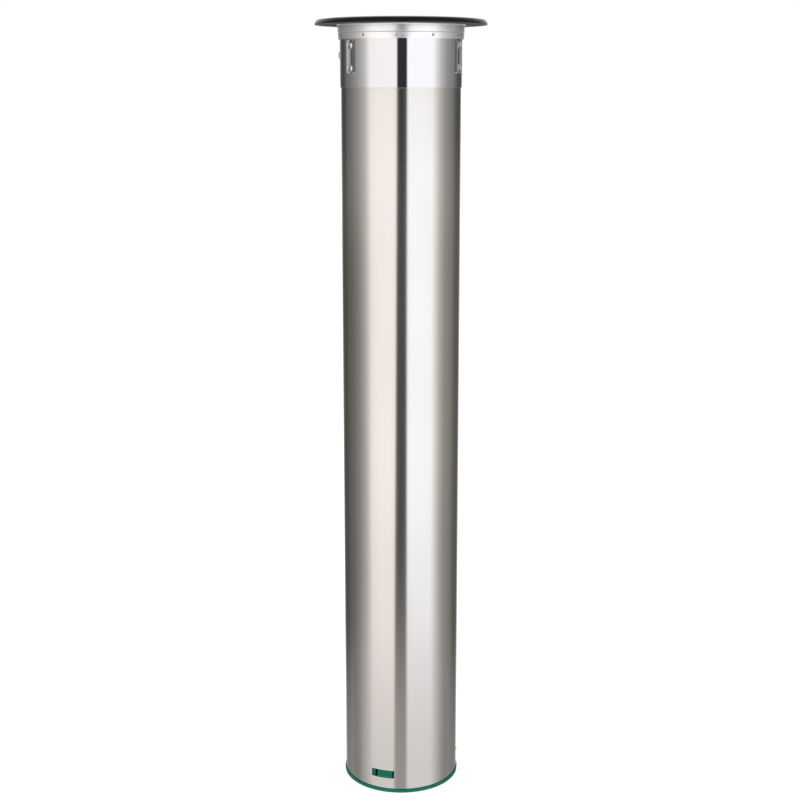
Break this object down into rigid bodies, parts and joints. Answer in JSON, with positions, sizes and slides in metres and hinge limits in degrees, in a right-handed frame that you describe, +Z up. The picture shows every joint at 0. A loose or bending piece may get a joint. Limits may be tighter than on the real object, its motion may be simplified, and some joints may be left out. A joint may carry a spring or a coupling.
{
  "type": "in-counter cup dispenser",
  "caption": "Upright steel tube with a wide black trim flange, riveted collar, rubber finger gasket, sprung pusher inside and a green snap-in base cap.",
  "frame": {"origin": "centre of the base cap's underside, on the surface that the tube stands on", "axes": "+Z up along the tube towards the flange, -Y towards the front, +X to the front view's right"},
  "size_m": [0.128, 0.128, 0.5982],
  "materials": {
    "tube_steel": "fine upright brushing",
    "collar_steel": "polished",
    "ring_steel": "satin",
    "trim_plastic": "satin black",
    "gasket_rubber": "matte",
    "strip_steel": "polished",
    "hanger_steel": "mill",
    "rivet_steel": "bright",
    "spring_wire": "bright drawn",
    "base_plastic": "moulded green",
    "pusher_plastic": "moulded ivory"
  },
  "bodies": {
    "housing": {"tube": "tube_steel", "collar": "collar_steel", "neck_ring": "ring_steel", "trim_flange": "trim_plastic", "cup_gasket": "gasket_rubber", "hanger_rivets": "rivet_steel", "collar_screw": "rivet_steel", "collar_nut": "rivet_steel", "base_cap": "base_plastic", "hanger_strip_1": "strip_steel", "hanger_strip_2": "strip_steel", "hanger_strip_3": "strip_steel", "spring_hanger_1": "hanger_steel", "spring_hanger_2": "hanger_steel", "spring_hanger_3": "hanger_steel", "pusher_spring_1": "spring_wire", "pusher_spring_2": "spring_wire", "pusher_spring_3": "spring_wire"},
    "pusher": {"pusher_plate": "pusher_plastic", "pusher_head": "pusher_plastic", "pusher_screws": "rivet_steel", "spring_pins": "rivet_steel"},
    "latch_1": {"base_latch_1": "base_plastic"},
    "latch_2": {"base_latch_2": "base_plastic"},
    "latch_3": {"base_latch_3": "base_plastic"}
  },
  "joints": [
    {"name": "pusher_travel", "type": "slide", "parent": "housing", "child": "pusher", "axis": [0, 0, 1], "range_m": [-0.365, 0], "stiffness_N_per_m": 30, "springref_m": 0.06, "deforming": ["pusher_spring_1", "pusher_spring_2", "pusher_spring_3"]},
    {"name": "latch_1_flex", "type": "hinge", "parent": "housing", "child": "latch_1", "pos_m": [-0.01243, -0.04117, 0.0043], "axis": [-0.9573, 0.289, 0], "range_deg": [0, 12], "stiffness_Nm_per_rad": 0.3},
    {"name": "latch_2_flex", "type": "hinge", "parent": "housing", "child": "latch_2", "pos_m": [0.04186, 0.00982, 0.0043], "axis": [0.2284, -0.9736, 0], "range_deg": [0, 12], "stiffness_Nm_per_rad": 0.3},
    {"name": "latch_3_flex", "type": "hinge", "parent": "housing", "child": "latch_3", "pos_m": [-0.02944, 0.03135, 0.0043], "axis": [0.729, 0.6845, 0], "range_deg": [0, 12], "stiffness_Nm_per_rad": 0.3}
  ]
}
